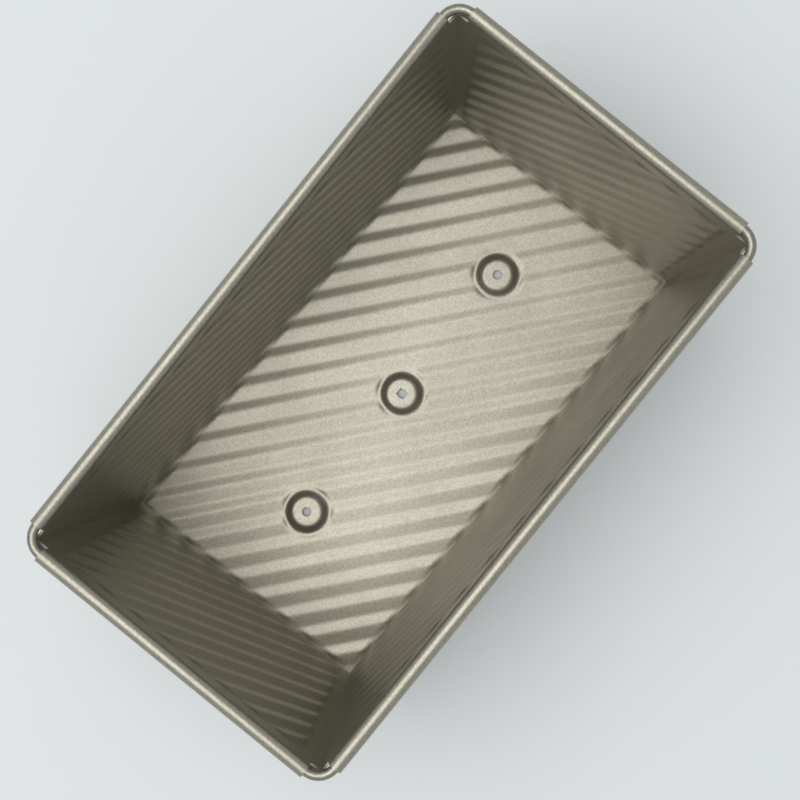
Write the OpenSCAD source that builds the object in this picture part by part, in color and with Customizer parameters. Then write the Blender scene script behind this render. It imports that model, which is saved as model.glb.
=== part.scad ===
// Pullman loaf pan, folded from one ridged sheet, with a rim rolled over a wire.
// The origin is at the centre of the underside, +X runs along the length, +Z is up.

/* [Pan] */
// Inner length at the rim
rim_l = 196; // [150:1:320]
// Inner width at the rim
rim_w = 107; // [80:1:150]
// Inner length of the floor
floor_l = 182; // [130:1:300]
// Inner width of the floor
floor_w = 97.8; // [70:0.1:140]
// Height from the table to the top of the rim
pan_h = 116; // [60:1:140]

/* [Ridged sheet] */
// Thickness of the sheet
sheet_t = 0.7; // [0.5:0.1:1.2]
// Distance from ridge to ridge, square to them
ridge_pitch = 8.5; // [6:0.1:14]
// Height of a ridge above the sheet beside it
ridge_h = 0.5; // [0.3:0.1:1]
// Width of a ridge's flat top
ridge_flat = 2.6; // [1:0.1:5]
// Width of each slope of a ridge
ridge_slope = 0.8; // [0.4:0.1:2]
// Angle of the ridges to the pan's length
ridge_angle = 40; // [20:1:70]
// Plain strip beside a fold
fold_margin = 2.5; // [1.5:0.5:8]
// Plain strip beside a vertical corner, at the rim
corner_margin = 7; // [3:0.5:20]
// Plain strip under the rim
rim_margin = 5; // [3:0.5:15]

/* [Rim] */
// Diameter of the rim wire
wire_d = 3; // [2:0.1:5]
// Clearance between the wire and the bead rolled over it
wire_gap = 0.1; // [0.05:0.05:0.3]
// Bend radius of the wire's centreline at a corner
wire_bend_r = 6; // [4:0.5:12]
// Part of a full turn that the bead is rolled through, in degrees
bead_turn = 300; // [270:5:305]

/* [Vent bosses] */
// Number of bosses along the floor
vent_n = 3; // [1:1:5]
// Distance between bosses
vent_step = 55; // [25:1:80]
// Outer diameter of a boss
vent_d = 16.3; // [10:0.1:24]
// Diameter of a boss's flat top
vent_top_d = 9.8; // [6:0.1:14]
// Diameter of the hole in a boss
vent_hole_d = 3.5; // [2:0.1:5]
// Height of a boss above the floor
vent_h = 2.2; // [1:0.1:4]

/* [Folded corners] */
// Width of a folded web, from its corner along the end wall
web_w = 44; // [15:1:46]
// Slit between the two leaves of a web
web_slit = 0.2; // [0.1:0.05:0.4]
// Width of the bend that joins the two leaves
web_bend = 2; // [1:0.5:5]
// Clearance between a web and the bead above it
web_gap = 0.3; // [0.2:0.1:1]

/* [Hidden] */
$fn = 48;
bead_in_r = wire_d / 2 + wire_gap;
bead_r = bead_in_r + sheet_t;
wire_z = pan_h - bead_r;
rise = wire_z - sheet_t;
lean_l = (rim_l - floor_l) / 2;
lean_w = (rim_w - floor_w) / 2;
tilt_end = atan(lean_l / rise);
tilt_long = atan(lean_w / rise);
skin_end = sheet_t / cos(tilt_end);
skin_long = sheet_t / cos(tilt_long);
loop_x = rim_l / 2 + bead_r;
loop_y = rim_w / 2 + bead_r;
notch = wire_bend_r - bead_r + wire_gap;
notch_z = wire_z - wire_d / 2 - web_gap;
web_top = wire_z - bead_r - web_gap;
steel = [0.62, 0.57, 0.50];
wire_steel = [0.72, 0.71, 0.69];

// Outline of the ridged sheet across its ridges; a low flat is centred on s = 0
function ridge_steps(first, last) = [
    for (i = [first:last])
        for (p = [[-ridge_flat / 2 - ridge_slope, 0], [-ridge_flat / 2, ridge_h],
                  [ridge_flat / 2, ridge_h], [ridge_flat / 2 + ridge_slope, 0]])
            [(i + 0.5) * ridge_pitch + p[0], p[1]]];

function lifted(points, by) = [for (p = points) [p[0], p[1] + by]];

function turned(points) = [for (i = [len(points) - 1:-1:0]) points[i]];

// Ridged band round the local origin; solid_below fills it down to the plain sheet
module ridge_band(turn, start, reach, solid_below) {
    first = floor((start - reach) / ridge_pitch);
    last = ceil((start + reach) / ridge_pitch);
    steps = ridge_steps(first, last);
    under = solid_below ? [[steps[0][0], 0], [steps[len(steps) - 1][0], 0]] : steps;
    rotate([0, 0, turn])
        translate([-reach, -start, 0])
            rotate([90, 0, 90])
                linear_extrude(2 * reach)
                    polygon(concat(under, turned(lifted(steps, sheet_t))));
}

// Symmetrical trapezoid from y0 to y1, drawn in by inset on every side
module trapezoid(low, top, y0, y1, inset = 0) {
    polygon([[-low / 2 + inset, y0 + inset], [low / 2 - inset, y0 + inset],
             [top / 2 - inset, y1 - inset], [-top / 2 + inset, y1 - inset]]);
}

// Flat sheet with a ridged zone whose ridge ends are closed, outer face on z = 0
module pressed_sheet(outline, zone, turn, start) {
    reach = outline[1] + outline[3];
    linear_extrude(sheet_t)
        difference() {
            trapezoid(outline[0], outline[1], outline[2], outline[3]);
            trapezoid(zone[0], zone[1], zone[2], zone[3], sheet_t);
        }
    intersection() {
        ridge_band(turn, start, reach, false);
        linear_extrude(sheet_t + ridge_h)
            trapezoid(zone[0], zone[1], zone[2], zone[3]);
    }
    intersection() {
        ridge_band(turn, start, reach, true);
        linear_extrude(sheet_t + ridge_h)
            difference() {
                trapezoid(zone[0], zone[1], zone[2], zone[3]);
                trapezoid(zone[0], zone[1], zone[2], zone[3], sheet_t);
            }
    }
}

// Places a wall that leans out by tilt from the fold at y = offset
module lean_out(offset, tilt) {
    translate([0, offset, sheet_t])
        rotate([90 - tilt, 0, 0])
            translate([0, 0, -sheet_t])
                children();
}

// Space between two sides that lean out, for trimming a wall to its neighbours
module between(half_low, half_top) {
    translate([0, rim_l, 0])
        rotate([90, 0, 0])
            linear_extrude(2 * rim_l)
                polygon([[-half_low, sheet_t], [half_low, sheet_t],
                         [half_top, wire_z], [-half_top, wire_z]]);
}

// Clearance for the wire's bend above the four corners of the sheet
module corner_notches() {
    for (sx = [-1, 1])
        for (sy = [-1, 1])
            translate([sx * (rim_l / 2 - notch + bead_r * 2), sy * (rim_w / 2 - notch + bead_r * 2),
                       notch_z + pan_h / 2])
                cube([bead_r * 4, bead_r * 4, pan_h], center = true);
}

module long_wall() {
    slant = rise / cos(tilt_long);
    difference() {
        intersection() {
            lean_out(floor_w / 2, tilt_long)
                pressed_sheet([2 * rim_l, 2 * rim_l, -sheet_t, slant + sheet_t],
                              [floor_l - 2 * fold_margin, rim_l - 2 * corner_margin,
                               fold_margin, slant - rim_margin],
                              -ridge_angle, floor_w / 2 * cos(ridge_angle));
            between(floor_l / 2 + skin_end, rim_l / 2 + skin_end);
        }
        corner_notches();
    }
}

module end_wall() {
    slant = rise / cos(tilt_end);
    difference() {
        rotate([0, 0, -90])
            intersection() {
                lean_out(floor_l / 2, tilt_end)
                    pressed_sheet([2 * rim_w, 2 * rim_w, -sheet_t, slant + sheet_t],
                                  [floor_w - 2 * fold_margin, rim_w - 2 * corner_margin,
                                   fold_margin, slant - rim_margin],
                                  90 - ridge_angle, floor_l / 2 * sin(ridge_angle));
                between(floor_w / 2, rim_w / 2);
            }
        corner_notches();
    }
}

// Domed ring of sheet round each vent hole
module vent_boss() {
    rotate_extrude()
        polygon([[vent_d / 2, 0], [vent_d / 2, sheet_t], [vent_top_d / 2, sheet_t + vent_h],
                 [vent_hole_d / 2, sheet_t + vent_h], [vent_hole_d / 2, vent_h],
                 [vent_top_d / 2 - sheet_t / 2, vent_h], [vent_d / 2 - sheet_t, 0]]);
}

module base_panel() {
    full = floor_w + 2 * skin_long;
    color(steel) {
        difference() {
            pressed_sheet([floor_l + 2 * skin_end, floor_l + 2 * skin_end, -full / 2, full / 2],
                          [floor_l - 2 * fold_margin, floor_l - 2 * fold_margin,
                           -floor_w / 2 + fold_margin, floor_w / 2 - fold_margin],
                          -ridge_angle, 0);
            for (i = [0:vent_n - 1])
                translate([(i - (vent_n - 1) / 2) * vent_step, 0, -pan_h / 2])
                    cylinder(d = vent_d - sheet_t, h = pan_h);
        }
        for (i = [0:vent_n - 1])
            translate([(i - (vent_n - 1) / 2) * vent_step, 0, 0])
                vent_boss();
    }
}

module long_wall_back() {
    color(steel) long_wall();
}

module long_wall_front() {
    color(steel) rotate([0, 0, 180]) long_wall();
}

module end_wall_right() {
    color(steel) end_wall();
}

module end_wall_left() {
    color(steel) rotate([0, 0, 180]) end_wall();
}

// Web of the blank folded double against the outside of an end wall, on its +Y side
module corner_web() {
    low = floor_w / 2 + skin_long;
    top = rim_w / 2 + skin_long;
    edge = low - web_w;
    slant = (web_top - sheet_t) / cos(tilt_end);
    intersection() {
        rotate([0, 0, -90])
            lean_out(floor_l / 2, tilt_end)
                translate([0, 0, -2 * sheet_t - web_slit])
                    difference() {
                        linear_extrude(2 * sheet_t + web_slit)
                            polygon([[-low, 0], [-top, slant], [-edge, slant], [-edge, web_w]]);
                        translate([0, 0, sheet_t])
                            linear_extrude(web_slit)
                                polygon([[-low, 2 * web_bend], [-top - web_bend, slant + web_bend],
                                         [-edge + web_bend, slant + web_bend],
                                         [-edge + web_bend, web_w + 2 * web_bend]]);
                    }
        translate([-rim_l, -rim_l, sheet_t])
            cube([2 * rim_l, 2 * rim_l, web_top - sheet_t]);
    }
}

module corner_web_back_right() {
    color(steel) corner_web();
}

module corner_web_front_right() {
    color(steel) mirror([0, 1, 0]) corner_web();
}

module corner_web_back_left() {
    color(steel) mirror([1, 0, 0]) corner_web();
}

module corner_web_front_left() {
    color(steel) rotate([0, 0, 180]) corner_web();
}

// Bead along X, rolled over the wire from the wall's top edge at -Y
module rim_bead(length) {
    far = 4 * bead_r;
    rotate([90, 0, 90])
        linear_extrude(length, center = true)
            difference() {
                circle(r = bead_r);
                circle(r = bead_in_r);
                polygon([[0, 0], [-far, 0], [-far, -far],
                         [far * cos(180 - bead_turn), far * sin(180 - bead_turn)]]);
            }
}

module rim_bead_back() {
    color(steel) translate([0, loop_y, wire_z]) rim_bead(rim_l - 2 * notch);
}

module rim_bead_front() {
    color(steel) rotate([0, 0, 180]) translate([0, loop_y, wire_z]) rim_bead(rim_l - 2 * notch);
}

module rim_bead_right() {
    color(steel) rotate([0, 0, -90]) translate([0, loop_x, wire_z]) rim_bead(rim_w - 2 * notch);
}

module rim_bead_left() {
    color(steel) rotate([0, 0, 90]) translate([0, loop_x, wire_z]) rim_bead(rim_w - 2 * notch);
}

// One closed loop: four straight runs and four quarter bends
module rim_wire() {
    run_x = 2 * (loop_x - wire_bend_r);
    run_y = 2 * (loop_y - wire_bend_r);
    color(wire_steel)
        translate([0, 0, wire_z]) {
            for (s = [-1, 1]) {
                translate([-run_x / 2, s * loop_y, 0])
                    rotate([0, 90, 0])
                        cylinder(d = wire_d, h = run_x);
                translate([s * loop_x, run_y / 2, 0])
                    rotate([90, 0, 0])
                        cylinder(d = wire_d, h = run_y);
            }
            for (q = [0:3])
                translate([(q == 0 || q == 3 ? 1 : -1) * run_x / 2, (q < 2 ? 1 : -1) * run_y / 2, 0])
                    rotate([0, 0, 90 * q])
                        rotate_extrude(angle = 90)
                            translate([wire_bend_r, 0])
                                circle(d = wire_d);
        }
}

base_panel();
long_wall_back();
long_wall_front();
end_wall_right();
end_wall_left();
corner_web_back_right();
corner_web_front_right();
corner_web_back_left();
corner_web_front_left();
rim_bead_back();
rim_bead_front();
rim_bead_right();
rim_bead_left();
rim_wire();
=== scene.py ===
import math
import bmesh
import bpy
import numpy as np
from mathutils import Matrix, Vector


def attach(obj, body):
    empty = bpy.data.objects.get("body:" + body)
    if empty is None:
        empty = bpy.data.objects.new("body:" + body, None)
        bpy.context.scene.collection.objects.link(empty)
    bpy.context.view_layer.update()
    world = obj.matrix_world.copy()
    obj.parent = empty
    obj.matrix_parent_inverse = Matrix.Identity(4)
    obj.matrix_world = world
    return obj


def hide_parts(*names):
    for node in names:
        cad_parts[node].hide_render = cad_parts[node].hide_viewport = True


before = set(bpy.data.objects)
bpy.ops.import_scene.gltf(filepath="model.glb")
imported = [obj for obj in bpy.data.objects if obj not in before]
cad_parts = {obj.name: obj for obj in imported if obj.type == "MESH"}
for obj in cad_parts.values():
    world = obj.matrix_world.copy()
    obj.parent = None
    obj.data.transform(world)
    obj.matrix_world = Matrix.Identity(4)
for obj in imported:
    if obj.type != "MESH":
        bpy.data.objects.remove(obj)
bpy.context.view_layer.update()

# Camera, in metres, from the pan's corners as the photograph shows them
CAMERA_PLACE = Vector((0.01131, -0.01496, 0.55329))
CAMERA_LOOK = Vector((-0.02448, 0.02542, -0.99938))
CAMERA_UP = Vector((0.7789, 0.62714, -0.00312))
LENS_MM = 68.58
SENSOR_MM = 36.0
CLIP_NEAR = 0.01

# Table and light
TABLE_SIZE = 4.0
TABLE_COLOR = (0.765, 0.79, 0.785, 1.0)
TABLE_ROUGHNESS = 0.7
WORLD_COLOR = (0.93, 0.96, 1.0, 1.0)
WORLD_STRENGTH = 0.56
LAMP_HEIGHT = 1.3
LAMP_SIZE = 1.1
LAMP_WATTS = 10.0
LAMP_OFFSET = (-0.18, 0.22)

# Folded sheet, in metres: the same sizes as the CAD walls and floor
RIM_L = 0.196
RIM_W = 0.107
FLOOR_L = 0.182
FLOOR_W = 0.0978
SHEET_T = 0.0007
WALL_TOP = 0.1137
NOTCH = 0.0038
NOTCH_DEPTH = 0.0018
CELL = 0.0007
EDGE_ANGLE = math.radians(35)

# Ridges of the sheet: a shallow zigzag that runs on over the folds
RIDGE_ANGLE = math.radians(40)
RIDGE_PITCH = 0.0085
RIDGE_RISE = 0.0005
RIDGE_SHARE = 0.6
FADE = 0.0016
FLOOR_MARGIN = 0.0001
CORNER_MARGIN = (0.003, 0.007)
RIM_MARGIN = 0.005

# Vent bosses; a point within a share of a cell of a hole moves on to its edge
VENT_PLACES = (-0.055, 0.0, 0.055)
VENT_R = 0.00815
VENT_TOP_R = 0.0049
VENT_HOLE_R = 0.00175
VENT_H = 0.0018
HOLE_SNAP = 0.6
TOUCH = 1e-6

# Coated steel
COAT_DARK = (0.31, 0.29, 0.23, 1.0)
COAT_LIGHT = (0.385, 0.363, 0.291, 1.0)
COAT_METALLIC = 0.75
COAT_ROUGHNESS = (0.36, 0.40)
WIRE_DARK = (0.28, 0.26, 0.21, 1.0)
WIRE_LIGHT = (0.36, 0.34, 0.28, 1.0)
WIRE_METALLIC = 0.9
WIRE_ROUGHNESS = (0.34, 0.42)
SPECKLE_SCALE = 1400.0
WEAR_SCALE = 28.0
NOISE_DETAIL = 4.0
SPECKLE_BAND = (0.38, 0.62)
BUMP_STRENGTH = 0.12
BUMP_DISTANCE = 0.00006


def noise(tree, place, scale):
    """Noise texture on the object's own coordinates."""
    texture = tree.nodes.new("ShaderNodeTexNoise")
    texture.inputs["Scale"].default_value = scale
    texture.inputs["Detail"].default_value = NOISE_DETAIL
    tree.links.new(place.outputs["Object"], texture.inputs["Vector"])
    return texture.outputs["Fac"]


def spread(tree, value, low, high):
    """Maps the middle of a noise to the range from low to high."""
    mapped = tree.nodes.new("ShaderNodeMapRange")
    mapped.inputs["From Min"].default_value = SPECKLE_BAND[0]
    mapped.inputs["From Max"].default_value = SPECKLE_BAND[1]
    mapped.inputs["To Min"].default_value = low
    mapped.inputs["To Max"].default_value = high
    tree.links.new(value, mapped.inputs["Value"])
    return mapped.outputs["Result"]


def metal(name, dark, light, metallic, roughness):
    """Satin metal with a fine speckle in colour and height and slow changes in sheen."""
    material = bpy.data.materials.new(name)
    material.use_nodes = True
    tree = material.node_tree
    shader = tree.nodes["Principled BSDF"]
    shader.inputs["Metallic"].default_value = metallic
    place = tree.nodes.new("ShaderNodeTexCoord")
    speckle = noise(tree, place, SPECKLE_SCALE)
    wear = noise(tree, place, WEAR_SCALE)
    mix = tree.nodes.new("ShaderNodeMix")
    mix.data_type = "RGBA"
    colors = [socket for socket in mix.inputs if socket.type == "RGBA"]
    colors[0].default_value = dark
    colors[1].default_value = light
    tree.links.new(spread(tree, speckle, 0.0, 1.0), mix.inputs["Factor"])
    mixed = [socket for socket in mix.outputs if socket.type == "RGBA"][0]
    tree.links.new(mixed, shader.inputs["Base Color"])
    tree.links.new(spread(tree, wear, *roughness), shader.inputs["Roughness"])
    bump = tree.nodes.new("ShaderNodeBump")
    bump.inputs["Strength"].default_value = BUMP_STRENGTH
    bump.inputs["Distance"].default_value = BUMP_DISTANCE
    tree.links.new(speckle, bump.inputs["Height"])
    tree.links.new(bump.outputs["Normal"], shader.inputs["Normal"])
    return material


def ease(x):
    """Smooth step from 0 to 1."""
    x = np.clip(x, 0.0, 1.0)
    return x * x * (3 - 2 * x)


def ridges(blank_x, blank_y):
    """Height of the zigzag at a point of the flat blank, from 0 to 1."""
    across = blank_x * math.sin(RIDGE_ANGLE) + blank_y * math.cos(RIDGE_ANGLE)
    turn = np.mod(across / RIDGE_PITCH, 1.0)
    return np.where(turn < RIDGE_SHARE, turn / RIDGE_SHARE, (1 - turn) / (1 - RIDGE_SHARE))


def grid_faces(keep):
    """Quads between the grid points, only those whose cell is kept."""
    rows, cols = keep.shape
    index = np.arange((rows + 1) * (cols + 1)).reshape(rows + 1, cols + 1)
    quads = np.stack([index[:-1, :-1], index[:-1, 1:], index[1:, 1:], index[1:, :-1]], -1)
    return quads[keep]


def rim_edges(quads):
    """Directed edges that only one quad has."""
    edges = np.concatenate([quads[:, [k, (k + 1) % 4]] for k in range(4)])
    known = {(a, b) for a, b in edges.tolist()}
    return [(a, b) for a, b in known if (b, a) not in known]


def sheet_piece(name, node, surface, inward, quads, look):
    """Closed sheet of even thickness behind a surface, standing for a CAD node."""
    points = surface.reshape(-1, 3)
    count = len(points)
    back = points - SHEET_T * np.array(inward)
    faces = quads.tolist() + (quads[:, ::-1] + count).tolist()
    faces += [(b, a, a + count, b + count) for a, b in rim_edges(quads)]
    mesh = bpy.data.meshes.new(name)
    mesh.from_pydata(np.concatenate([points, back]).tolist(), [], faces)
    mesh.polygons.foreach_set("use_smooth", [True] * len(faces))
    mesh.set_sharp_from_angle(angle=EDGE_ANGLE)
    bm = bmesh.new()
    bm.from_mesh(mesh)
    loose = [v for v in bm.verts if not v.link_faces]
    bmesh.ops.delete(bm, geom=loose, context="VERTS")
    bm.to_mesh(mesh)
    bm.free()
    mesh.materials.append(look)
    obj = bpy.data.objects.new(name, mesh)
    bpy.context.scene.collection.objects.link(obj)
    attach(obj, "root")
    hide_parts(node)


def wall_piece(name, node, quarter, reach, half_low, half_top, look):
    """Wall that leans out from its fold; quarter is its number of quarter turns from the back."""
    out = reach[0]
    lean = math.atan2(reach[1] - reach[0], WALL_TOP - SHEET_T)
    slant = (WALL_TOP - SHEET_T) / math.cos(lean)
    q = np.linspace(-1, 1, int(2 * half_top / CELL) + 1)
    v = np.linspace(0, slant, int(slant / CELL) + 1)
    q, v = np.meshgrid(q, v)
    half = half_low + (half_top - half_low) * v / slant
    u = q * half
    side = CORNER_MARGIN[0] + (CORNER_MARGIN[1] - CORNER_MARGIN[0]) * v / slant
    inside = np.minimum.reduce([half - side - abs(u), v - FLOOR_MARGIN, slant - RIM_MARGIN - v])
    turn = quarter * math.pi / 2
    along = np.array([math.cos(turn), math.sin(turn)])
    away = np.array([-math.sin(turn), math.cos(turn)])
    blank = u[..., None] * along + (out + v)[..., None] * away
    rise = RIDGE_RISE * ridges(blank[..., 0], blank[..., 1]) * ease(inside / FADE)
    up = np.array([*(math.sin(lean) * away), math.cos(lean)])
    inward = np.array([*(-math.cos(lean) * away), math.sin(lean)])
    fold = np.array([*(out * away), SHEET_T])
    surface = fold + u[..., None] * np.array([*along, 0.0]) + v[..., None] * up
    surface = surface + rise[..., None] * inward
    cut = (abs(u) > half - NOTCH) & (v > slant - NOTCH_DEPTH)
    keep = ~(cut[:-1, :-1] | cut[1:, 1:])
    sheet_piece(name, node, surface, inward, grid_faces(keep), look)


def boss_height(far):
    """Height of a vent boss at a distance from its centre."""
    return VENT_H * ease((VENT_R - far) / (VENT_R - VENT_TOP_R))


def floor_piece(look):
    """Ridged floor with its three vent bosses and their holes."""
    half_x = FLOOR_L / 2 + SHEET_T
    half_y = FLOOR_W / 2 + SHEET_T
    x = np.linspace(-half_x, half_x, int(2 * half_x / CELL) + 1)
    y = np.linspace(-half_y, half_y, int(2 * half_y / CELL) + 1)
    x, y = np.meshgrid(x, y)
    hole = np.zeros(x.shape, bool)
    bosses = np.zeros(x.shape)
    plain = np.ones(x.shape)
    for place in VENT_PLACES:
        far = np.hypot(x - place, y)
        near = (abs(far - VENT_HOLE_R) < HOLE_SNAP * CELL) & (far > 0)
        scale = np.where(near, VENT_HOLE_R / np.where(far > 0, far, 1.0), 1.0)
        x = place + (x - place) * scale
        y = y * scale
        far = np.hypot(x - place, y)
        hole |= far < VENT_HOLE_R - TOUCH
        bosses = np.maximum(bosses, boss_height(far))
        plain = np.minimum(plain, ease((far - VENT_R) / FADE))
    edge = SHEET_T + FLOOR_MARGIN
    inside = np.minimum(half_x - edge - abs(x), half_y - edge - abs(y))
    rise = RIDGE_RISE * ridges(x, y) * ease(inside / FADE) * plain
    surface = np.stack([x, y, SHEET_T + rise + bosses], -1)
    keep = ~(hole[:-1, :-1] | hole[1:, 1:] | hole[1:, :-1] | hole[:-1, 1:])
    sheet_piece("ridged_floor", "base_panel", surface, (0, 0, 1), grid_faces(keep), look)


def folded_sheet(look):
    """Floor and four walls of the blank, with ridges that run on from one to the next."""
    floor_piece(look)
    long_reach = (FLOOR_W / 2, RIM_W / 2)
    end_reach = (FLOOR_L / 2, RIM_L / 2)
    for name, quarter in (("back", 0), ("front", 2)):
        wall_piece("ridged_wall_" + name, "long_wall_" + name, quarter, long_reach,
                   FLOOR_L / 2 + SHEET_T, RIM_L / 2 + SHEET_T, look)
    for name, quarter in (("right", 3), ("left", 1)):
        wall_piece("ridged_wall_" + name, "end_wall_" + name, quarter, end_reach,
                   FLOOR_W / 2, RIM_W / 2, look)


def dress_pan():
    """Gives each part of the pan its own metal."""
    coat = metal("coated_sheet_look", COAT_DARK, COAT_LIGHT, COAT_METALLIC, COAT_ROUGHNESS)
    wire = metal("rim_wire_look", WIRE_DARK, WIRE_LIGHT, WIRE_METALLIC, WIRE_ROUGHNESS)
    for name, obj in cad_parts.items():
        obj.data.materials.clear()
        obj.data.materials.append(wire if name == "rim_wire" else coat)
    folded_sheet(coat)


def table():
    """Plain pale table top under the pan."""
    half = TABLE_SIZE / 2
    mesh = bpy.data.meshes.new("table_top")
    corners = [(-half, -half, 0), (half, -half, 0), (half, half, 0), (-half, half, 0)]
    mesh.from_pydata(corners, [], [(0, 1, 2, 3)])
    obj = bpy.data.objects.new("table_top", mesh)
    bpy.context.scene.collection.objects.link(obj)
    material = bpy.data.materials.new("table_look")
    material.use_nodes = True
    shader = material.node_tree.nodes["Principled BSDF"]
    shader.inputs["Base Color"].default_value = TABLE_COLOR
    shader.inputs["Roughness"].default_value = TABLE_ROUGHNESS
    mesh.materials.append(material)


def studio_light():
    """One wide soft lamp overhead and an even pale surround."""
    lamp = bpy.data.lights.new("overhead", "AREA")
    lamp.energy = LAMP_WATTS
    lamp.size = LAMP_SIZE
    obj = bpy.data.objects.new("overhead", lamp)
    obj.location = (LAMP_OFFSET[0], LAMP_OFFSET[1], LAMP_HEIGHT)
    obj.rotation_euler = (-obj.location).to_track_quat("-Z", "Y").to_euler()
    bpy.context.scene.collection.objects.link(obj)
    world = bpy.data.worlds.new("surround")
    world.use_nodes = True
    background = world.node_tree.nodes["Background"]
    background.inputs["Color"].default_value = WORLD_COLOR
    background.inputs["Strength"].default_value = WORLD_STRENGTH
    bpy.context.scene.world = world


def camera():
    """Camera nearly straight above the pan, as in the photograph."""
    data = bpy.data.cameras.new("camera")
    data.lens = LENS_MM
    data.sensor_width = SENSOR_MM
    data.clip_start = CLIP_NEAR
    obj = bpy.data.objects.new("camera", data)
    look = CAMERA_LOOK.normalized()
    right = look.cross(CAMERA_UP).normalized()
    up = right.cross(look)
    turn = Matrix((right, up, -look)).transposed().to_4x4()
    obj.matrix_world = Matrix.Translation(CAMERA_PLACE) @ turn
    bpy.context.scene.collection.objects.link(obj)
    bpy.context.scene.camera = obj


dress_pan()
table()
studio_light()
camera()
bpy.context.scene.view_settings.view_transform = "Standard"
